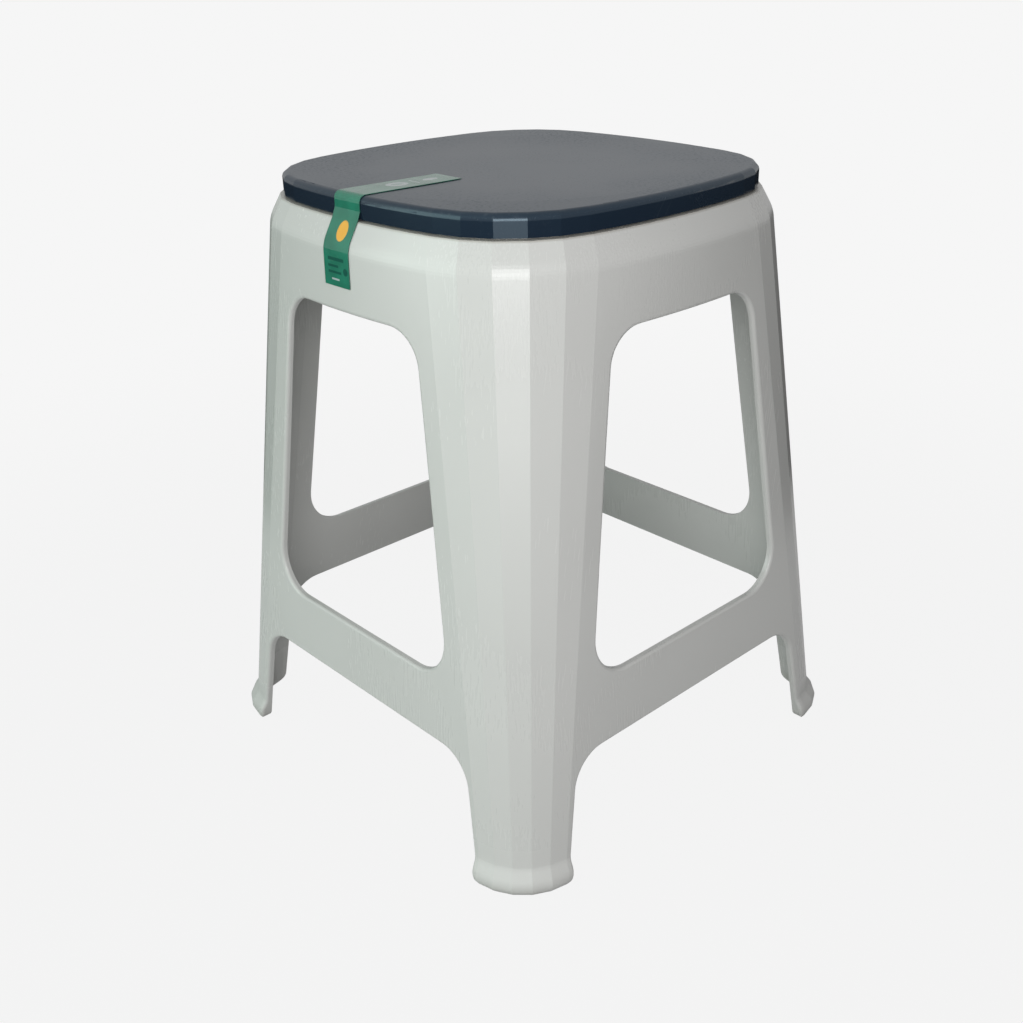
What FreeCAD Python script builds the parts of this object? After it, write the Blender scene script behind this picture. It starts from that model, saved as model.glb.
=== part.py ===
import FreeCAD, Part
import math
import os
import Sketcher
from FreeCAD import Placement, Vector

# Stacking stool: a one-piece moulded body with four splayed legs, a pressed-on seat cover and a film strip.
# Origin at the centre of the floor footprint, +Z up, the strip is on the face that looks along -Y.

doc = FreeCAD.newDocument("stacking_stool")

# Driving sizes in millimetres. Half widths run from the centre to the flat part of a face.
SIZES = {
    "stool_height": 450.0,
    "cover_half_width": 140.3,
    "cover_corner_radius": 76.5,
    "cover_bow": 5.6,
    "cover_depth": 14.5,
    "cover_edge_round": 4.6,
    "cover_wall": 3.0,
    "cover_plate": 3.6,
    "cover_dish": 1.2,
    "cover_rib_height": 3.4,
    "cover_rib_thickness": 2.0,
    "cover_rib_spacing": 55.0,
    "cover_fit_gap": 0.4,
    "skirt_gap": 1.0,
    "shoulder_reveal": 2.5,
    "shoulder_drop": 15.5,
    "shoulder_run": 7.8,
    "crease_corner_radius": 84.5,
    "crease_bow": 7.0,
    "crease_blend": 5.0,
    "leg_splay": 31.4,
    "floor_corner_radius": 48.0,
    "body_wall": 4.0,
    "floor_wall": 5.5,
    "foot_height": 20.0,
    "foot_flare": 5.8,
    "toe_radius": 7.0,
    "gap_top_height": 92.0,
    "gap_floor_leg_width": 46.5,
    "gap_top_leg_width": 62.0,
    "gap_radius": 28.0,
    "stretcher_depth": 49.5,
    "top_rail_depth": 43.0,
    "window_bottom_leg_width": 81.0,
    "window_top_leg_width": 82.6,
    "window_bottom_radius": 29.0,
    "window_top_radius": 27.0,
    "rim_round": 2.4,
    "deck_rib_depth": 10.0,
    "deck_rib_thickness": 2.5,
    "deck_rib_spacing": 55.0,
    "deck_rib_inset": 18.3,
    "peg_radius": 5.0,
    "peg_reach": 14.0,
    "peg_inset": 55.3,
    "peg_gap": 0.3,
    "socket_wall": 2.5,
    "socket_margin": 2.0,
    "strip_width": 27.0,
    "strip_centre": -4.0,
    "strip_film": 0.3,
    "strip_gap": 0.3,
    "strip_reach": 84.0,
    "strip_tail_drop": 26.0,
}

# Places that follow from them. Leg widths are taken off the half width of the level they are measured at.
FOLLOWING = {
    "ledge_height": "=stool_height - cover_depth - skirt_gap",
    "crease_height": "=ledge_height - shoulder_drop",
    "deck_height": "=stool_height - cover_plate - cover_rib_height",
    "crease_half_width": "=cover_half_width + shoulder_reveal + shoulder_run",
    "floor_half_width": "=crease_half_width + leg_splay",
    "window_top_height": "=crease_height - top_rail_depth",
    "window_bottom_height": "=gap_top_height + stretcher_depth",
    "window_top_half_width": "=crease_half_width - window_top_leg_width",
    "window_bottom_half_width": "=floor_half_width - window_bottom_leg_width",
    "gap_floor_half_width": "=floor_half_width - gap_floor_leg_width",
    "gap_top_half_width": "=floor_half_width - gap_top_leg_width",
    "deck_rib_half_length": "=cover_half_width - deck_rib_inset",
    "peg_offset": "=cover_half_width - peg_inset",
    "strip_tail_height": "=crease_height - strip_tail_drop",
}

sheet = doc.addObject("Spreadsheet::Sheet", "Sizes")
for row, (name, value) in enumerate({**SIZES, **FOLLOWING}.items(), start=1):
    sheet.set(f"A{row}", name)
    sheet.set(f"B{row}", str(value))
    sheet.setAlias(f"B{row}", name)
doc.recompute()


def size(name):
    """One size, read back from the sheet."""
    return float(sheet.get(name))


# Outline of the moulding

FACETS = 5
FACET_TURN = math.radians(90.0 / (FACETS + 1))
FLATTEST_BOW = 0.01
EDGE_SWELL = 0.6


def blend(low, high, share):
    """A tuple part of the way from low to high."""
    return tuple(a + (b - a) * share for a, b in zip(low, high))


def outline(half_width, bow, radius, height, swell=0.0):
    """A closed square outline with bowed sides and five flat facets round each corner.

    swell pushes the corners out by its full amount at their middle, and by a share of it at their ends.
    """
    centre = half_width - radius
    quarter = []
    for step in range(FACETS + 1):
        angle = FACET_TURN * (step + 0.5)
        reach = radius / math.cos(FACET_TURN / 2) + swell * (EDGE_SWELL + (1 - EDGE_SWELL) * math.sin(2 * angle))
        quarter.append((centre + reach * math.cos(angle), centre + reach * math.sin(angle)))
    corners = []
    for turn in range(4):
        cos, sin = (1, 0, -1, 0)[turn], (0, 1, 0, -1)[turn]
        corners.append([Vector(x * cos - y * sin, x * sin + y * cos, height) for x, y in quarter])
    edges = []
    for turn in range(4):
        points = corners[turn]
        edges += [Part.makeLine(a, b) for a, b in zip(points, points[1:])]
        start, end = points[-1], corners[(turn + 1) % 4][0]
        if bow > FLATTEST_BOW:
            middle = (start + end) * 0.5
            outward = Vector(middle.x, middle.y, 0).normalize()
            edges.append(Part.Arc(start, middle + outward * bow, end).toShape())
        else:
            edges.append(Part.makeLine(start, end))
    return Part.Wire(edges)


def bow_share(height):
    """How much of the crease's bow a face has at a height: next to none at the stretchers."""
    return max(0.0, height / size("crease_height")) ** 3


def leg_level(height):
    """Half width, bow and corner radius of the outside at a height below the crease."""
    floor = (size("floor_half_width"), size("floor_corner_radius"))
    crease = (size("crease_half_width"), size("crease_corner_radius"))
    half_width, radius = blend(floor, crease, height / size("crease_height"))
    return half_width, size("crease_bow") * bow_share(height), radius


ledge_height = size("ledge_height")
collar_rise = size("deck_height") - ledge_height
deck_underside = size("deck_height") - size("body_wall")


def grown(level, amount):
    """A level's half width and corner radius, both grown by the same amount."""
    half_width, bow, radius = level
    return half_width + amount, bow, radius + amount


cover_level = (size("cover_half_width"), size("cover_bow"), size("cover_corner_radius"))
ledge_level = grown(cover_level, size("shoulder_reveal"))
collar_level = grown(cover_level, -size("cover_wall") - size("cover_fit_gap"))


def shoulder_level(height):
    """Half width, bow and corner radius of the outside between the crease and the ledge."""
    share = (height - size("crease_height")) / size("shoulder_drop")
    return blend(leg_level(size("crease_height")), ledge_level, share)


def feature(name, shape):
    """A document object that holds a shape worked out from the sheet."""
    item = doc.addObject("Part::Feature", name)
    item.Shape = shape
    item.Placement = Placement()
    return item


# Outside of the body: flared feet, splayed legs, rounded crease, sloping shoulder and the raised collar

FOOT_PROFILE = (
    (0.0, 0.15),
    (0.1, 0.6),
    (0.22, 0.88),
    (0.38, 1.0),
    (0.55, 0.88),
    (0.72, 0.5),
    (0.88, 0.12),
    (1.0, 0.0),
)
foot_wires = []
for share, swell in FOOT_PROFILE:
    height = share * size("foot_height")
    foot_wires.append(outline(*leg_level(height), height, swell * size("foot_flare")))
feet = Part.makeLoft(foot_wires, True, False)

CREASE_STEPS = 5
below = size("crease_height") - size("crease_blend")
above = size("crease_height") + size("crease_blend")
crease_knots = (
    (*leg_level(below), below),
    (*leg_level(size("crease_height")), size("crease_height")),
    (*shoulder_level(above), above),
)
LEG_STEPS = 6
leg_wires = []
for step in range(LEG_STEPS + 1):
    height = size("foot_height") + (below - size("foot_height")) * step / LEG_STEPS
    leg_wires.append(outline(*leg_level(height), height))
legs = Part.makeLoft(leg_wires, True, False)
shoulder_wires = []
for step in range(CREASE_STEPS + 1):
    share = step / CREASE_STEPS
    lower = blend(crease_knots[0], crease_knots[1], share)
    upper = blend(crease_knots[1], crease_knots[2], share)
    shoulder_wires.append(outline(*blend(lower, upper, share)))
shoulder_wires.append(outline(*ledge_level, ledge_height))
shoulder = Part.makeLoft(shoulder_wires, True, True)

collar_wire = outline(*collar_level, ledge_height)
collar = Part.Face(collar_wire).extrude(Vector(0, 0, collar_rise))
body_outside = feature("body_outside", feet.fuse([legs, shoulder, collar]))

# Hollow inside of the body: the wall is thin at the top and thickens down the legs

FLOOR_OVERRUN = 5.0
wall = size("body_wall")


def leg_wall(height):
    """Wall thickness at a height below the crease."""
    share = 1 - height / size("crease_height")
    return wall + (size("floor_wall") - wall) * share


shoulder_inside = ledge_height - wall
INNER_STEPS = 5
inner_heights = [size("crease_height") * step / INNER_STEPS for step in range(INNER_STEPS + 1)]
inner_heights[0] = -FLOOR_OVERRUN
inner_wires = [outline(*grown(leg_level(height), -leg_wall(height)), height) for height in inner_heights]
hollow_legs = Part.makeLoft(inner_wires, True, False)
SLOPED_WALL = 1.15
inner_ledge = outline(*grown(shoulder_level(shoulder_inside), -wall * SLOPED_WALL), shoulder_inside)
hollow_shoulder = Part.makeLoft([inner_wires[-1], inner_ledge], True, True)
hollow_collar_wire = outline(*grown(collar_level, -wall), shoulder_inside)
hollow_collar = Part.Face(hollow_collar_wire).extrude(Vector(0, 0, deck_underside - shoulder_inside))
body_hollow = feature("body_hollow", hollow_legs.fuse([hollow_shoulder, hollow_collar]))


# Window and leg gap cutters: tapered profiles with rounded corners, passed through two opposite faces at once

THROUGH = 3.0
TOLERANCE = 0.01


def trapezium(body, plane_role, bottom, top, half_widths):
    """A sketch of an upright symmetric trapezium on one of the body's own planes.

    bottom is an expression for a height, or for a depth below the floor after a minus sign.
    """
    sketch = body.newObject("Sketcher::SketchObject", body.Name + "_profile")
    plane = [item for item in body.Origin.OriginFeatures if item.Role == plane_role][0]
    sketch.AttachmentSupport = [(plane, "")]
    sketch.MapMode = "FlatFace"
    below_floor = bottom.startswith("-")
    low = -20.0 if below_floor else 20.0
    corners = [Vector(-60, low, 0), Vector(60, low, 0), Vector(50, 90, 0), Vector(-50, 90, 0)]
    for start, end in zip(corners, corners[1:] + corners[:1]):
        sketch.addGeometry(Part.LineSegment(start, end), False)
    for line in range(4):
        sketch.addConstraint(Sketcher.Constraint("Coincident", line, 2, (line + 1) % 4, 1))
    for line in (0, 2):
        sketch.addConstraint(Sketcher.Constraint("Symmetric", line, 1, line, 2, -2))
    bottom_ends = (0, 1, -1, 1) if below_floor else (-1, 1, 0, 1)
    sizes = (
        ("DistanceY", bottom_ends, 20.0, bottom.lstrip("-")),
        ("DistanceY", (-1, 1, 2, 1), 90.0, top),
        ("DistanceX", (0, 1, 0, 2), 120.0, f"2 * ({half_widths[0]})"),
        ("DistanceX", (2, 2, 2, 1), 100.0, f"2 * ({half_widths[1]})"),
    )
    for kind, ends, start_value, expression in sizes:
        index = sketch.addConstraint(Sketcher.Constraint(kind, *ends, start_value))
        sketch.setExpression(f"Constraints[{index}]", expression)
    return sketch


def cutter(name, plane_role, bottom, top, half_widths, rounds):
    """A block through two opposite faces made from a trapezium; rounds names its top and bottom corner radii."""
    body = doc.addObject("PartDesign::Body", name)
    sketch = trapezium(body, plane_role, bottom, top, half_widths)
    doc.recompute()
    pad = body.newObject("PartDesign::Pad", name + "_pad")
    pad.Profile = sketch
    pad.SideType = "Symmetric"
    pad.setExpression("Length", f"{THROUGH} * Sizes.floor_half_width")
    doc.recompute()
    end_heights = {"top": pad.Shape.BoundBox.ZMax, "bottom": pad.Shape.BoundBox.ZMin}
    for end, radius in rounds.items():
        base = body.Tip
        corners = []
        for number, edge in enumerate(base.Shape.Edges, start=1):
            bounds = edge.BoundBox
            through = abs(max(bounds.XLength, bounds.YLength) - pad.Length.Value) < TOLERANCE
            if through and max(abs(bounds.ZMin - end_heights[end]), abs(bounds.ZMax - end_heights[end])) < TOLERANCE:
                corners.append(f"Edge{number}")
        fillet = body.newObject("PartDesign::Fillet", f"{name}_{end}_round")
        fillet.Base = (base, corners)
        fillet.setExpression("Radius", f"Sizes.{radius}")
        body.Tip = fillet
        doc.recompute()
    return body


GAP_SPREAD = f"(Sizes.gap_floor_half_width - Sizes.gap_top_half_width) / Sizes.gap_top_height * {FLOOR_OVERRUN}"
WINDOW_HEIGHTS = ("Sizes.window_bottom_height", "Sizes.window_top_height")
WINDOW_WIDTHS = ("Sizes.window_bottom_half_width", "Sizes.window_top_half_width")
WINDOW_ROUNDS = {"top": "window_top_radius", "bottom": "window_bottom_radius"}
GAP_HEIGHTS = (f"-{FLOOR_OVERRUN}", "Sizes.gap_top_height")
GAP_WIDTHS = (f"Sizes.gap_floor_half_width + {GAP_SPREAD}", "Sizes.gap_top_half_width")
GAP_ROUNDS = {"top": "gap_radius"}
cutters = []
for side, plane_role in (("front", "XZ_Plane"), ("side", "YZ_Plane")):
    cutters.append(cutter(f"{side}_window", plane_role, *WINDOW_HEIGHTS, WINDOW_WIDTHS, WINDOW_ROUNDS))
    cutters.append(cutter(f"{side}_leg_gap", plane_role, *GAP_HEIGHTS, GAP_WIDTHS, GAP_ROUNDS))


def cut(name, base, tool):
    """A boolean cut of two document objects."""
    result = doc.addObject("Part::Cut", name)
    result.Base = base
    result.Tool = tool
    doc.recompute()
    return result


shell = cut("hollow_body", body_outside, body_hollow)
for tool in cutters:
    shell = cut(f"body_less_{tool.Name}", shell, tool)

# Rounded outer rims of the windows and leg gaps

RIM_MARGIN = 0.5


def is_outer_rim(edge):
    """True for an edge on the flat of an outer face, away from the corner facets, the feet and the crease."""
    middle = edge.valueAt((edge.FirstParameter + edge.LastParameter) / 2)
    if not size("foot_height") + TOLERANCE < middle.z < below - TOLERANCE:
        return False
    depth = max(abs(middle.x), abs(middle.y))
    along = min(abs(middle.x), abs(middle.y))
    half_width, bow, radius = leg_level(middle.z)
    first_arris = half_width - radius + radius * math.tan(FACET_TURN / 2)
    face = half_width + bow * (1 - (along / first_arris) ** 2)
    return abs(depth - face) < RIM_MARGIN and along < first_arris - RIM_MARGIN


rims = [number for number, edge in enumerate(shell.Shape.Edges, start=1) if is_outer_rim(edge)]
rounded = doc.addObject("Part::Fillet", "rounded_body")
rounded.Base = shell
rounded.Edges = [(number, size("rim_round"), size("rim_round")) for number in rims]
doc.recompute()

# Rounded lower corners of the leg ends, cut along the edges of the gaps

CORNER_OVERRUN = 2.0


def toe_cutter(side, end):
    """What lies outside the round of a leg's lower corner, through two opposite faces.

    side is front for the front and back faces, or side for the other two; end is -1 or 1 along the face.
    """
    radius = size("toe_radius")
    corner = size("gap_floor_half_width")
    lean = math.atan2(corner - size("gap_top_half_width"), size("gap_top_height"))
    reach = radius * math.tan((math.pi / 2 - lean) / 2)
    centre = (corner + reach, radius)
    on_edge = (corner - reach * math.sin(lean), reach * math.cos(lean))
    shortest = math.hypot(reach, radius)
    middle = (centre[0] - reach * radius / shortest, centre[1] - radius**2 / shortest)
    depth = THROUGH / 2 * size("floor_half_width")
    places = [(centre[0], 0.0), middle, on_edge]
    places += [(on_edge[0] - CORNER_OVERRUN, on_edge[1]), (on_edge[0] - CORNER_OVERRUN, -CORNER_OVERRUN)]
    places.append((centre[0], -CORNER_OVERRUN))
    if side == "front":
        points = [Vector(end * along, -depth, height) for along, height in places]
        through = Vector(0, 2 * depth, 0)
    else:
        points = [Vector(-depth, end * along, height) for along, height in places]
        through = Vector(2 * depth, 0, 0)
    edges = [Part.Arc(*points[:3]).toShape()]
    edges += [Part.makeLine(a, b) for a, b in zip(points[2:], points[3:] + points[:1])]
    return feature(f"{side}_toe_cutter_{end + 2}", Part.Face(Part.Wire(edges)).extrude(through))


for side in ("front", "side"):
    for end in (-1, 1):
        tool = toe_cutter(side, end)
        rounded = cut(f"body_less_{tool.Name}", rounded, tool)

# Deck underside: a grid of stiffening ribs and four sockets for the cover's pegs


def box(name, lengths, position):
    """A Part::Box with its three lengths and its position given as expressions."""
    item = doc.addObject("Part::Box", name)
    for key, expression in zip(("Length", "Width", "Height"), lengths):
        item.setExpression(key, expression)
    for axis, expression in zip("xyz", position):
        item.setExpression(f"Placement.Base.{axis}", expression)
    return item


def cylinder(name, radius, height, position):
    """An upright Part::Cylinder with its sizes and position given as expressions."""
    item = doc.addObject("Part::Cylinder", name)
    item.setExpression("Radius", radius)
    item.setExpression("Height", height)
    for axis, expression in zip("xyz", position):
        item.setExpression(f"Placement.Base.{axis}", expression)
    return item


def fuse(name, pieces):
    """A boolean union of document objects."""
    result = doc.addObject("Part::MultiFuse", name)
    result.Shapes = pieces
    doc.recompute()
    return result


SUNK = "Sizes.body_wall / 2"
rib_base = "Sizes.deck_height - Sizes.body_wall - Sizes.deck_rib_depth"
rib_lengths = ("2 * Sizes.deck_rib_half_length", "Sizes.deck_rib_thickness", f"Sizes.deck_rib_depth + {SUNK}")
ribs = []
for step in (-1, 0, 1):
    offset = f"{step} * Sizes.deck_rib_spacing - Sizes.deck_rib_thickness / 2"
    long_start = "-Sizes.deck_rib_half_length"
    ribs.append(box(f"deck_rib_x{step + 1}", rib_lengths, (long_start, offset, rib_base)))
    turned = (rib_lengths[1], rib_lengths[0], rib_lengths[2])
    ribs.append(box(f"deck_rib_y{step + 1}", turned, (offset, long_start, rib_base)))

PEG_PLACES = [(sx, sy) for sx in (-1, 1) for sy in (-1, 1)]
socket_base = "Sizes.deck_height - Sizes.peg_reach - Sizes.socket_margin"
socket_depth = "Sizes.peg_reach + Sizes.socket_margin"
BORE_OVERRUN = 1.0
bosses = []
bores = []
for number, (sx, sy) in enumerate(PEG_PLACES, start=1):
    place = (f"{sx} * Sizes.peg_offset", f"{sy} * Sizes.peg_offset", socket_base)
    outer = "Sizes.peg_radius + Sizes.peg_gap + Sizes.socket_wall"
    bosses.append(cylinder(f"socket_boss_{number}", outer, f"{socket_depth} - {SUNK}", place))
    low_place = (place[0], place[1], f"{socket_base} - {BORE_OVERRUN}")
    bore_depth = f"{socket_depth} + 2 * {BORE_OVERRUN}"
    bores.append(cylinder(f"socket_bore_{number}", "Sizes.peg_radius + Sizes.peg_gap", bore_depth, low_place))
ribbed = fuse("ribbed_body", [rounded, *ribs, *bosses])
bore_set = fuse("socket_bores", bores)
stool_body = cut("stool_body", ribbed, bore_set)

# Seat cover: a facetted cap with a rounded rim, ribs and pegs inside

skirt_bottom = size("stool_height") - size("cover_depth")
cap_wire = outline(*cover_level, skirt_bottom)
cap = feature("cover_cap", Part.Face(cap_wire).extrude(Vector(0, 0, size("cover_depth"))))


def is_top_edge(edge):
    """True for an edge of the flat top."""
    return edge.BoundBox.ZMin > size("stool_height") - TOLERANCE


cap_rim = [number for number, edge in enumerate(cap.Shape.Edges, start=1) if is_top_edge(edge)]
round_cap = doc.addObject("Part::Fillet", "cover_round_cap")
round_cap.Base = cap
round_cap.Edges = [(number, size("cover_edge_round"), size("cover_edge_round")) for number in cap_rim]
doc.recompute()

SKIRT_OVERRUN = 1.0
inside_height = size("cover_depth") - size("cover_plate") + SKIRT_OVERRUN
inside_wire = outline(*grown(cover_level, -size("cover_wall")), skirt_bottom - SKIRT_OVERRUN)
cover_hollow = feature("cover_hollow", Part.Face(inside_wire).extrude(Vector(0, 0, inside_height)))
hollow_cap = cut("cover_hollow_cap", round_cap, cover_hollow)

dish_reach = size("cover_half_width") - size("cover_edge_round") * 2
dish_radius = (dish_reach**2 + size("cover_dish") ** 2) / (2 * size("cover_dish"))
dish_ball = feature(
    "cover_dish_ball",
    Part.makeSphere(dish_radius, Vector(0, 0, size("stool_height") - size("cover_dish") + dish_radius)),
)
dished = cut("cover_dished", hollow_cap, dish_ball)

cover_ribs = []
plate_bite = "Sizes.cover_plate / 3"
rib_reach = "(Sizes.cover_half_width - Sizes.cover_wall / 2)"
for step in (-1, 0, 1):
    offset = f"{step} * Sizes.cover_rib_spacing - Sizes.cover_rib_thickness / 2"
    lengths = (f"2 * {rib_reach}", "Sizes.cover_rib_thickness", f"Sizes.cover_rib_height + {plate_bite}")
    cover_ribs.append(box(f"cover_rib_x{step + 1}", lengths, (f"-{rib_reach}", offset, "Sizes.deck_height")))
    turned = (lengths[1], lengths[0], lengths[2])
    cover_ribs.append(box(f"cover_rib_y{step + 1}", turned, (offset, f"-{rib_reach}", "Sizes.deck_height")))
pegs = []
for number, (sx, sy) in enumerate(PEG_PLACES, start=1):
    place = (f"{sx} * Sizes.peg_offset", f"{sy} * Sizes.peg_offset", "Sizes.deck_height - Sizes.peg_reach")
    length = f"Sizes.cover_rib_height + Sizes.peg_reach + {plate_bite}"
    pegs.append(cylinder(f"cover_peg_{number}", "Sizes.peg_radius", length, place))
seat_cover = fuse("seat_cover", [dished, *cover_ribs, *pegs])

# Film strip: one band that runs over the cover's edge, down the shoulder and onto the front face

front_depth = size("cover_half_width") + size("cover_bow")
gap = size("strip_gap")


def face_depth(level):
    """How far the middle of a face lies from the centre."""
    half_width, bow, _ = level
    return half_width + bow


def dish_drop(depth):
    """How far the dished top lies below the rim at a distance from the centre."""
    return size("cover_dish") * max(0.0, 1 - (depth / dish_reach) ** 2)


STRIP_STEPS = 5
inner_end = front_depth - size("strip_reach")
inner_line = []
for step in range(STRIP_STEPS):
    depth = inner_end + (dish_reach - inner_end) * step / STRIP_STEPS
    inner_line.append((depth, size("stool_height") - dish_drop(depth)))
edge_round = size("cover_edge_round")
for step in range(STRIP_STEPS + 1):
    angle = math.radians(90) * step / STRIP_STEPS
    depth = front_depth - edge_round + edge_round * math.sin(angle)
    inner_line.append((depth, size("stool_height") - edge_round + edge_round * math.cos(angle)))
inner_line.append((front_depth, (skirt_bottom + size("stool_height") - edge_round) / 2))
inner_line.append((face_depth(ledge_level), ledge_height))
for step in range(CREASE_STEPS + 1):
    share = 1 - step / CREASE_STEPS
    lower = blend(crease_knots[0], crease_knots[1], share)
    upper = blend(crease_knots[1], crease_knots[2], share)
    half_width, bow, _, height = blend(lower, upper, share)
    inner_line.append((half_width + bow, height))
inner_line.append((face_depth(leg_level(size("strip_tail_height"))), size("strip_tail_height")))


def offset_line(points, distance):
    """The same line of points moved outwards by a distance, corner by corner."""
    moved = []
    for index, (depth, height) in enumerate(points):
        before = points[max(index - 1, 0)]
        after = points[min(index + 1, len(points) - 1)]
        normals = []
        for start, end in ((before, (depth, height)), ((depth, height), after)):
            run = math.hypot(end[0] - start[0], end[1] - start[1])
            if run > 0.0:
                normals.append((-(end[1] - start[1]) / run, (end[0] - start[0]) / run))
        mean = [sum(part) / len(normals) for part in zip(*normals)]
        scale = distance / (mean[0] ** 2 + mean[1] ** 2)
        moved.append((depth + mean[0] * scale, height + mean[1] * scale))
    return moved


under_side = offset_line(inner_line, gap)
upper_side = offset_line(inner_line, gap + size("strip_film"))
start_x = size("strip_centre") - size("strip_width") / 2
ring = [Vector(start_x, -depth, height) for depth, height in under_side + upper_side[::-1]]
strip_face = Part.Face(Part.makePolygon(ring + ring[:1]))
label_strip = feature("label_strip", strip_face.extrude(Vector(size("strip_width"), 0, 0)))

# Checks and export

NODES = (stool_body, seat_cover, label_strip)
for item in doc.Objects:
    if "Invalid" in item.State or "Error" in item.State:
        raise RuntimeError(f"{item.Name} did not build: {item.State}")
for node in NODES:
    if node.Shape.isNull() or not node.Shape.isValid():
        raise RuntimeError(f"{node.Label} has no valid shape")
    print(node.Label, "solids", len(node.Shape.Solids), "volume", round(node.Shape.Volume, 1))

os.makedirs("parts", exist_ok=True)
for node in NODES:
    node.Shape.exportStep(f"parts/{node.Label}.step")
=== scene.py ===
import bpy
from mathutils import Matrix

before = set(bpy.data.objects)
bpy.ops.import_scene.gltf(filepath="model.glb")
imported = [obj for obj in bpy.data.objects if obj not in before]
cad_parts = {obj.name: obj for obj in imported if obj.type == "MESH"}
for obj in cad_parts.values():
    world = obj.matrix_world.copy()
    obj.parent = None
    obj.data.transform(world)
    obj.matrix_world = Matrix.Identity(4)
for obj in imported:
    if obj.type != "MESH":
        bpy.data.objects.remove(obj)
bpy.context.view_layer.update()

import math

import bpy
from mathutils import Matrix, Vector

scene = bpy.context.scene


# The stool body: one hollow moulding of light warm-grey polypropylene with four splayed legs.
# The steel mould gives it a satin skin with a fine grain and faint upright draw marks.
# Handling leaves thin pale scratches on the walls. Floors dirty the bottom of the feet and rub them dull. A thin
# band on the body just under the cover's skirt is painted darker with the dirt colour, as painted shade in the
# gap between the cover and the body.

BODY_GREY = (0.590, 0.590, 0.575, 1.0)
BODY_FLOW = (0.572, 0.572, 0.557, 1.0)
BODY_SCRATCH = (0.650, 0.652, 0.640, 1.0)
# This dirt colour also paints the shade in the seam under the cover.
FLOOR_DIRT_AND_SEAM_SHADE = (0.330, 0.310, 0.270, 1.0)
BODY_ROUGHNESS = 0.24
SCUFFED_ROUGHNESS = 0.30
SCUFFED_HEIGHTS = (0.034, 0.018)
DIRTY_HEIGHTS = (0.015, 0.0)
DIRT_SHARE = 0.35
SCRATCH_SHARE = 0.05
LEDGE_HEIGHT = 0.4345
# The painted seam shade: how near the ledge it reaches in metres, and how dark it is.
SEAM_SHADE_REACH = (0.0016, 0.0002)
SEAM_SHADE_SHARE = 0.6
BODY_CLOUD = (6.0, 3.0)
DRAW_STRETCH = (700.0, 700.0, 9.0)
MOULD_SKIN = (240.0, 1.0)
MOULD_GRAIN = (1500.0, 2.0)
SMUDGES = (34.0, 4.0)
DRAW_RELIEF = (0.00001, 0.12)
SKIN_RELIEF = (0.00004, 0.25)
GRAIN_RELIEF = (0.00002, 0.25)
SCRATCH_AXIS = (0.4, 0.3, 0.87)
SCRATCH_STRETCH = (900.0, 900.0, 24.0)
SCRATCH_CUTS = (0.70, 0.76)
SCRATCH_PATCHES = (13.0, 1.0)
PATCH_CUTS = (0.50, 0.62)
DENSITY_STEP = 0.02


class Signal:
    """One output of a shader node, for use in plain expressions."""

    def __init__(self, socket):
        self.socket = socket

    def node(self, kind, settings, inputs, output=0):
        """A new node in the same tree: its settings first, then the values or links of its inputs."""
        tree = self.socket.id_data
        made = tree.nodes.new(kind)
        for name, value in settings.items():
            setattr(made, name, value)
        for name, value in inputs.items():
            if isinstance(value, Signal):
                tree.links.new(value.socket, made.inputs[name])
            else:
                made.inputs[name].default_value = value
        return Signal(made.outputs[output])

    def calculate(self, operation, first, second=0.0):
        return self.node("ShaderNodeMath", {"operation": operation}, {0: first, 1: second})

    def __add__(self, other):
        return self.calculate("ADD", self, other)

    __radd__ = __add__

    def __sub__(self, other):
        return self.calculate("SUBTRACT", self, other)

    def __rsub__(self, other):
        return self.calculate("SUBTRACT", other, self)

    def __mul__(self, other):
        return self.calculate("MULTIPLY", self, other)

    __rmul__ = __mul__

    def __truediv__(self, other):
        return self.calculate("DIVIDE", self, other)

    def __abs__(self):
        return self.calculate("ABSOLUTE", self)

    def rise(self, low, high):
        """0 below low and 1 above high, smooth between them; low may be the larger one."""
        ends = {"Value": self, "From Min": low, "From Max": high}
        return self.node("ShaderNodeMapRange", {"interpolation_type": "SMOOTHSTEP"}, ends)

    def stretched(self, x, y, z):
        """A place whose three axes are scaled."""
        return self.node("ShaderNodeVectorMath", {"operation": "MULTIPLY"}, {0: self, 1: (x, y, z)})

    def noise(self, scale, detail=2.0):
        """Even noise around 0.5 at this place, scale to the metre."""
        return self.node("ShaderNodeTexNoise", {}, {"Vector": self, "Scale": scale, "Detail": detail})

    def axes(self):
        """The X, Y and Z of a place."""
        split = self.node("ShaderNodeSeparateXYZ", {}, {0: self})
        return tuple(Signal(output) for output in split.socket.node.outputs)

    def tint(self, under, over):
        """The colour under where this mask is 0, and over where it is 1."""
        return self.node("ShaderNodeMix", {"data_type": "RGBA"}, {0: self, 6: under, 7: over}, 2)

    def relief(self, distance, strength=1.0, below=None):
        """A bump normal from this height, on top of the relief below it."""
        inputs = {"Height": self, "Distance": distance, "Strength": strength}
        if below is not None:
            inputs["Normal"] = below
        return self.node("ShaderNodeBump", {}, inputs)


def finish_of(node_name, material_name):
    """A new material on a CAD node: its shader, and the place of each surface point in metres."""
    material = bpy.data.materials.new(material_name)
    material.use_nodes = True
    tree = material.node_tree
    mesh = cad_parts[node_name].data
    mesh.materials.clear()
    mesh.materials.append(material)
    return tree.nodes["Principled BSDF"], Signal(tree.nodes.new("ShaderNodeTexCoord").outputs["Object"])


def connect(shader, links):
    """Links signals to a shader's inputs."""
    for name, signal in links.items():
        shader.id_data.links.new(signal.socket, shader.inputs[name])


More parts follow.
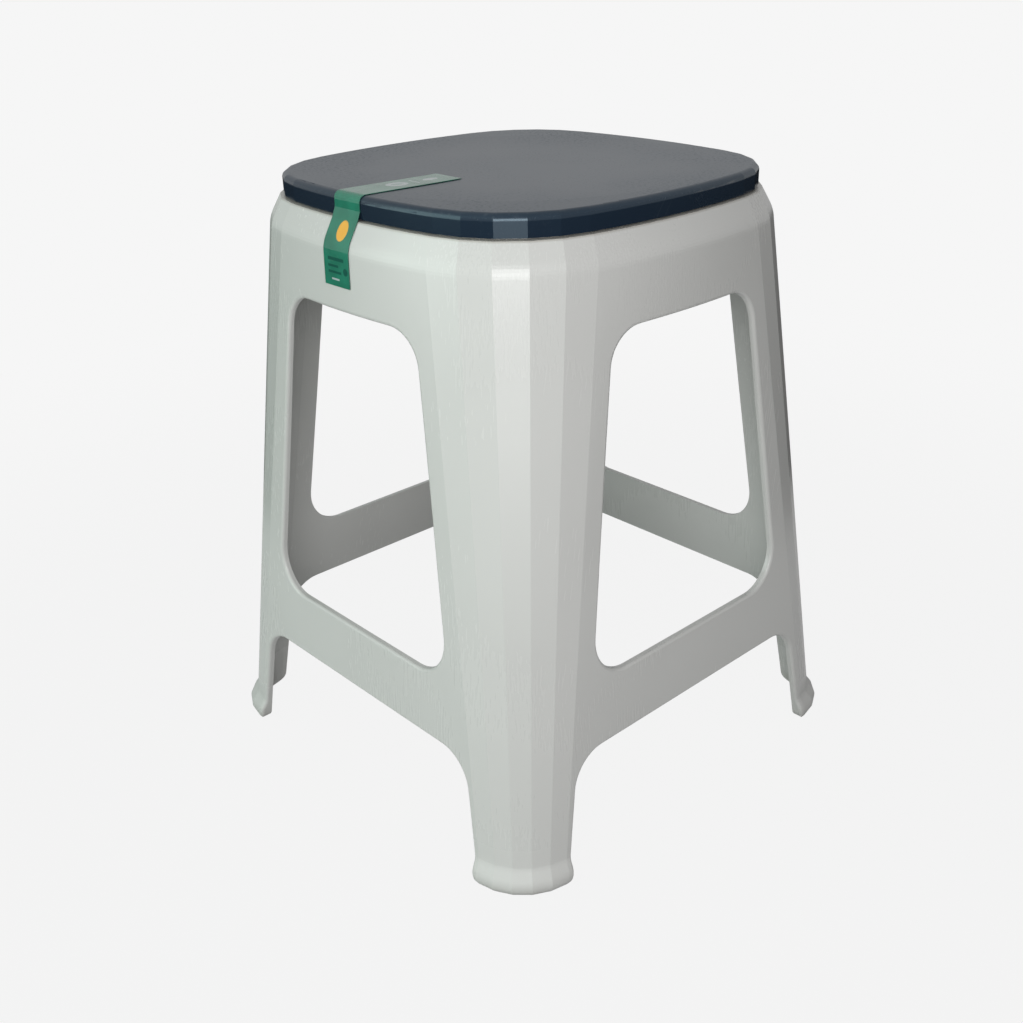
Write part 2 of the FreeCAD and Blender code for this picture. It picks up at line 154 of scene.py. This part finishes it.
def scratches(place, turn, density):
    """Sparse fine scratches that run one way: long thin noise cells, cut so that few are left."""
    spin = {"Vector": place, "Angle": turn, "Axis": SCRATCH_AXIS}
    turned = place.node("ShaderNodeVectorRotate", {"rotation_type": "AXIS_ANGLE"}, spin)
    thin = turned.stretched(*SCRATCH_STRETCH).noise(1.0, 0.0)
    patches = place.noise(*SCRATCH_PATCHES)
    low, high = SCRATCH_CUTS
    return thin.rise(low - DENSITY_STEP * density, high) * patches.rise(*PATCH_CUTS)


shader, place = finish_of("stool_body", "body_plastic")
height = place.axes()[2]
cloud = place.noise(*BODY_CLOUD)
draw_marks = place.stretched(*DRAW_STRETCH).noise(1.0, 2.0)
skin = place.noise(*MOULD_SKIN)
grain = place.noise(*MOULD_GRAIN)
scratch = scratches(place, 0.5, 1.0)
dirt = height.rise(*DIRTY_HEIGHTS) * place.noise(*SMUDGES).rise(0.30, 0.72)
# Painted shade: a thin dark band at the ledge just under the cover's skirt. It stands in for the shade in the
# gap between the cover and the body.
painted_seam_shade = abs(height - LEDGE_HEIGHT).rise(*SEAM_SHADE_REACH) * SEAM_SHADE_SHARE
plain = cloud.rise(0.35, 0.68).tint(BODY_GREY, BODY_FLOW)
scratched = (scratch * SCRATCH_SHARE).tint(plain, BODY_SCRATCH)
dirtied = (dirt * DIRT_SHARE).tint(scratched, FLOOR_DIRT_AND_SEAM_SHADE)
worn = scratch * 0.03 + height.rise(*SCUFFED_HEIGHTS) * SCUFFED_ROUGHNESS
connect(shader, {
    "Base Color": painted_seam_shade.tint(dirtied, FLOOR_DIRT_AND_SEAM_SHADE),
    "Roughness": cloud * 0.05 + draw_marks * 0.01 + worn + BODY_ROUGHNESS,
    "Normal": grain.relief(*GRAIN_RELIEF, skin.relief(*SKIN_RELIEF, draw_marks.relief(*DRAW_RELIEF))),
})


# The seat cover: a pressed-on cap of navy polypropylene, a shade glossier than the body.
# Its slightly dished top is grained and has been sat on, so it is polished in the middle, with a little dust
# and fine scratches towards the rim.

COVER_NAVY = (0.0105, 0.0195, 0.0340, 1.0)
COVER_FADED = (0.0140, 0.0250, 0.0410, 1.0)
COVER_DUST = (0.110, 0.125, 0.140, 1.0)
COVER_ROUGHNESS = 0.19
COVER_SHEEN = (0.66, 0.84, 0.97, 1.0)
SEAT_HEIGHTS = (0.4460, 0.4484)
RIM_REACH = (0.055, 0.155)
COVER_CLOUD = (9.0, 3.0)
CLOUD_CUTS = (0.35, 0.65)
SEAT_PEBBLE = (620.0, 1.0)
COVER_GRAIN = (2400.0, 1.0)
DUST_SPECKS = (420.0, 3.0)
DUST_CUTS = (0.48, 0.74)
DUST_SHARE = 0.22
PEBBLE_RELIEF = (0.00003, 0.25)
COVER_GRAIN_RELIEF = (0.00002, 0.2)

shader, place = finish_of("seat_cover", "cover_plastic")
shader.inputs["Specular Tint"].default_value = COVER_SHEEN
on_top = place.axes()[2].rise(*SEAT_HEIGHTS)
flat_place = place.stretched(1.0, 1.0, 0.0)
from_middle = place.node("ShaderNodeVectorMath", {"operation": "LENGTH"}, {0: flat_place}, 1)
rimward = from_middle.rise(*RIM_REACH)
cloud = place.noise(*COVER_CLOUD)
pebble = place.noise(*SEAT_PEBBLE)
grain = place.noise(*COVER_GRAIN)
scratch = scratches(place, 1.3, 1.5) + scratches(place.stretched(1.0, -1.0, 1.0), 2.1, 1.0)
dust = on_top * rimward * place.noise(*DUST_SPECKS).rise(*DUST_CUTS) * cloud.rise(*CLOUD_CUTS)
faded = (on_top * cloud.rise(*CLOUD_CUTS)).tint(COVER_NAVY, COVER_FADED)
dusty = (dust * DUST_SHARE).tint(faded, COVER_DUST)
seat_wear = on_top * (rimward * 0.02 + 0.09)
connect(shader, {
    "Base Color": (scratch * SCRATCH_SHARE).tint(dusty, COVER_DUST),
    "Roughness": cloud * 0.05 + seat_wear + scratch * 0.05 + dust * 0.2 + COVER_ROUGHNESS,
    "Normal": grain.relief(*COVER_GRAIN_RELIEF, (pebble * on_top).relief(*PEBBLE_RELIEF)),
})


# The film strip: a band of glossy emerald film stuck over the cover's edge and down onto the front face.
# It carries a plain generic print: pale ovals on the seat, an amber dot on the shoulder and dark bars on the
# tail. Its cut edge is slightly darker, and it has small air bubbles under it.

FILM_GREEN = (0.026, 0.200, 0.130, 1.0)
FILM_DEEP = (0.018, 0.130, 0.085, 1.0)
PRINT_PALE = (0.480, 0.530, 0.560, 1.0)
PRINT_AMBER = (0.820, 0.420, 0.055, 1.0)
PRINT_DARK = (0.012, 0.075, 0.060, 1.0)
FILM_ROUGHNESS = 0.10
STRIP_CENTRE = -0.004
CUT_EDGE = (0.0123, 0.0131)
SEAT_PRINT_HEIGHTS = (0.4470, 0.4485)
FRONT_PRINT_DEPTHS = (-0.1460, -0.1450)
BIG_OVAL = ((-0.0045, -0.1055), (0.0062, 0.0082))
BIG_OVAL_MIDDLE = ((-0.0045, -0.1055), (0.0030, 0.0046))
SMALL_OVAL = ((-0.0040, -0.0780), (0.0034, 0.0060))
SEAT_DASH = ((-0.0040, -0.0915), (0.0060, 0.0006))
AMBER_DOT = ((-0.0020, 0.4280), (0.0052, 0.0060))
DARK_BARS = (
    ((-0.0045, 0.4105), (0.0085, 0.0011)),
    ((-0.0075, 0.4060), (0.0055, 0.0008)),
    ((-0.0060, 0.4020), (0.0070, 0.0008)),
)
DARK_DOT = ((0.0055, 0.4035), (0.0024, 0.0024))
PALE_DASH = ((-0.0055, 0.3975), (0.0040, 0.0006))
PRINT_SHARE = 0.85
SOFT_EDGE = 0.12
SHARP_EDGE = 0.0001
WRINKLE_RELIEF = (0.0005, 0.5)
BUBBLE_RELIEF = (0.00008, 0.5)

shader, place = finish_of("label_strip", "strip_film")
x, y, z = place.axes()


def spot(across, along, centre, half_sizes):
    """A filled oval: 1 inside and 0 outside, soft over a share of its size."""
    dx = (across - centre[0]) / half_sizes[0]
    dy = (along - centre[1]) / half_sizes[1]
    return (dx * dx + dy * dy).rise(1.0 + SOFT_EDGE, 1.0 - SOFT_EDGE)


def bar(across, along, centre, half_sizes):
    """A filled rectangle: 1 inside and 0 outside."""
    mask = 1.0
    for line, middle, reach in zip((across, along), centre, half_sizes):
        mask = abs(line - middle).rise(reach + SHARP_EDGE, reach - SHARP_EDGE) * mask
    return mask


seat_part = z.rise(*SEAT_PRINT_HEIGHTS)
front_part = 1.0 - y.rise(*FRONT_PRINT_DEPTHS)
edge_line = abs(x - STRIP_CENTRE).rise(*CUT_EDGE)
ovals = spot(x, y, *BIG_OVAL) + spot(x, y, *SMALL_OVAL) - spot(x, y, *BIG_OVAL_MIDDLE) * 0.5
pale = seat_part * (ovals + bar(x, y, *SEAT_DASH)) + front_part * bar(x, z, *PALE_DASH)
dark = front_part * sum((bar(x, z, *place_and_size) for place_and_size in DARK_BARS), spot(x, z, *DARK_DOT))
amber = front_part * spot(x, z, *AMBER_DOT)
wrinkles = place.noise(70.0, 1.0)
bubbles = place.noise(520.0, 0.0).rise(0.68, 0.76)
film = (wrinkles.rise(0.3, 0.7) * 0.6 + edge_line * 0.4).tint(FILM_GREEN, FILM_DEEP)
printed = amber.tint((dark * PRINT_SHARE).tint(film, PRINT_DARK), PRINT_AMBER)
connect(shader, {
    "Base Color": (pale * PRINT_SHARE).tint(printed, PRINT_PALE),
    "Roughness": wrinkles * 0.08 + edge_line * 0.15 + FILM_ROUGHNESS,
    "Normal": bubbles.relief(*BUBBLE_RELIEF, wrinkles.relief(*WRINKLE_RELIEF)),
})


# The studio: a plain pale floor that runs out to a background of the same tone, so that no horizon shows.
# The floor keeps a faint shadow of the stool. A dark ring far out on it shows only in gloss, as the unlit
# part of a studio does.

BACKGROUND = 0.921
FLOOR_SIZE = 60.0
FLOOR_SHADE = 0.35
SHADOW_SHARE = 0.035
SHADOW_REACH = (0.35, 1.2)
FLOOR_GREY = (FLOOR_SHADE, FLOOR_SHADE, FLOOR_SHADE, 1.0)
BACKGROUND_GREY = (BACKGROUND, BACKGROUND, BACKGROUND, 1.0)
RING_RADII = (0.62, 4.0)
RING_HEIGHT = 0.004
RING_SIDES = 64
RING_BLACK = (0.02, 0.02, 0.02, 1.0)
AMBIENT = 0.33
GLOSS_SHARE = 0.60


def studio_mesh(name, vertices, faces):
    """A flat stage object from its corners, and the empty node tree of its material."""
    mesh = bpy.data.meshes.new(name)
    mesh.from_pydata(vertices, [], faces)
    item = bpy.data.objects.new(name, mesh)
    scene.collection.objects.link(item)
    material = bpy.data.materials.new(name)
    material.use_nodes = True
    material.node_tree.nodes.clear()
    mesh.materials.append(material)
    return item, material.node_tree


def seen_directly(tree):
    """1 for what the camera sees, a share of it for gloss, and 0 for scattered light."""
    rays = tree.nodes.new("ShaderNodeLightPath").outputs
    camera, glossy = (Signal(rays[name]) for name in ("Is Camera Ray", "Is Glossy Ray"))
    return camera + glossy * GLOSS_SHARE


half = FLOOR_SIZE / 2
floor_corners = [(-half, -half, 0), (half, -half, 0), (half, half, 0), (-half, half, 0)]
_, tree = studio_mesh("floor", floor_corners, [(0, 1, 2, 3)])
direct = seen_directly(tree)
place = Signal(tree.nodes.new("ShaderNodeTexCoord").outputs["Object"])
far = place.node("ShaderNodeVectorMath", {"operation": "LENGTH"}, {0: place}, 1).rise(*SHADOW_REACH)
shadow = (1.0 - far) * SHADOW_SHARE
lit = direct.node("ShaderNodeBsdfDiffuse", {}, {"Color": FLOOR_GREY})
even = direct.node("ShaderNodeEmission", {}, {"Color": BACKGROUND_GREY, "Strength": 1.0})
surface = direct.node("ShaderNodeMixShader", {}, {0: direct * (1.0 - shadow), 1: lit, 2: even})
output = tree.nodes.new("ShaderNodeOutputMaterial")
tree.links.new(surface.socket, output.inputs["Surface"])

ring_points = []
for radius in RING_RADII:
    for side in range(RING_SIDES):
        angle = math.tau * side / RING_SIDES
        ring_points.append((radius * math.cos(angle), radius * math.sin(angle), RING_HEIGHT))
ring_faces = []
for side in range(RING_SIDES):
    after = (side + 1) % RING_SIDES
    ring_faces.append((side, after, RING_SIDES + after, RING_SIDES + side))
ring, tree = studio_mesh("dark_ring", ring_points, ring_faces)
black = tree.nodes.new("ShaderNodeBsdfDiffuse")
black.inputs["Color"].default_value = RING_BLACK
output = tree.nodes.new("ShaderNodeOutputMaterial")
tree.links.new(black.outputs[0], output.inputs["Surface"])
for kind in ("camera", "diffuse", "transmission", "volume_scatter", "shadow"):
    setattr(ring, f"visible_{kind}", False)

world = bpy.data.worlds.new("studio")
scene.world = world
world.use_nodes = True
tree = world.node_tree
direct = seen_directly(tree)
sky = tree.nodes["Background"]
sky.inputs["Color"].default_value = BACKGROUND_GREY
tree.links.new((direct * (1 - AMBIENT) + AMBIENT).socket, sky.inputs["Strength"])
scene.view_settings.view_transform = "Standard"


# The lamps: a soft box in front of the near leg that shows on the crease, a low card that shows on the
# cover's skirt, a wide soft fill from the left of the labelled face, and a small weak one from the right that
# gloss doesn't show. Each has its name, stand, target, lengths, power in watts, tint and whether gloss shows it.

TINT_NEUTRAL = (1.0, 1.0, 1.0)
TINT_COOL = (0.80, 1.0, 0.90)
LAMPS = (
    ("front_box", (0.664, -0.720, 0.640), (0.118, -0.118, 0.400), (0.40, 0.40), 4.2, TINT_NEUTRAL, True),
    ("front_card", (0.800, -0.870, 0.240), (0.118, -0.118, 0.340), (0.50, 0.20), 0.8, TINT_NEUTRAL, True),
    ("left_fill", (-0.550, -1.500, 0.800), (0.000, -0.150, 0.250), (1.20, 1.20), 11.0, TINT_COOL, True),
    ("right_fill", (0.800, -0.350, 0.750), (0.150, -0.020, 0.380), (0.30, 0.30), 0.9, TINT_NEUTRAL, False),
)


def soft_box(name, stand, target, lengths, power, tint, in_gloss):
    """A rectangular lamp on its stand, turned to a target, that the camera doesn't see."""
    lamp = bpy.data.lights.new(name, "AREA")
    lamp.shape = "RECTANGLE"
    lamp.size, lamp.size_y = lengths
    lamp.energy = power
    lamp.color = tint
    item = bpy.data.objects.new(name, lamp)
    scene.collection.objects.link(item)
    turn = (Vector(target) - Vector(stand)).to_track_quat("-Z", "Y").to_matrix().to_4x4()
    item.matrix_world = Matrix.Translation(stand) @ turn
    item.visible_camera = False
    item.visible_glossy = in_gloss


for lamp_sizes in LAMPS:
    soft_box(*lamp_sizes)


# The camera: close to the near leg, between the labelled face and the one to its right, tipped down.
# Its aim, length and small roll were fitted to the edges of the stool in the photograph.

AZIMUTH = math.radians(47.11)
ELEVATION = math.radians(25.78)
ROLL = math.radians(-1.25)
DISTANCE = 0.96096
AIM_HEIGHT = 0.17781
PHOTO_WIDTH = 1023
FOCAL_PIXELS = 1196.22
CENTRE_PIXEL = (527.11, 511.53)
SENSOR = 36.0

level = math.cos(ELEVATION)
back = Vector((math.sin(AZIMUTH) * level, -math.cos(AZIMUTH) * level, math.sin(ELEVATION)))
level_right = Vector((math.cos(AZIMUTH), math.sin(AZIMUTH), 0.0))
level_up = back.cross(level_right)
right = level_right * math.cos(ROLL) + level_up * math.sin(ROLL)
up = level_up * math.cos(ROLL) - level_right * math.sin(ROLL)
lens = bpy.data.cameras.new("camera")
lens.sensor_width = SENSOR
lens.lens = SENSOR * FOCAL_PIXELS / PHOTO_WIDTH
lens.shift_x = (PHOTO_WIDTH / 2 - CENTRE_PIXEL[0]) / PHOTO_WIDTH
lens.shift_y = (CENTRE_PIXEL[1] - PHOTO_WIDTH / 2) / PHOTO_WIDTH
camera = bpy.data.objects.new("camera", lens)
scene.collection.objects.link(camera)
stand = Vector((0, 0, AIM_HEIGHT)) + back * DISTANCE
camera.matrix_world = Matrix.Translation(stand) @ Matrix((right, up, back)).transposed().to_4x4()
scene.camera = camera
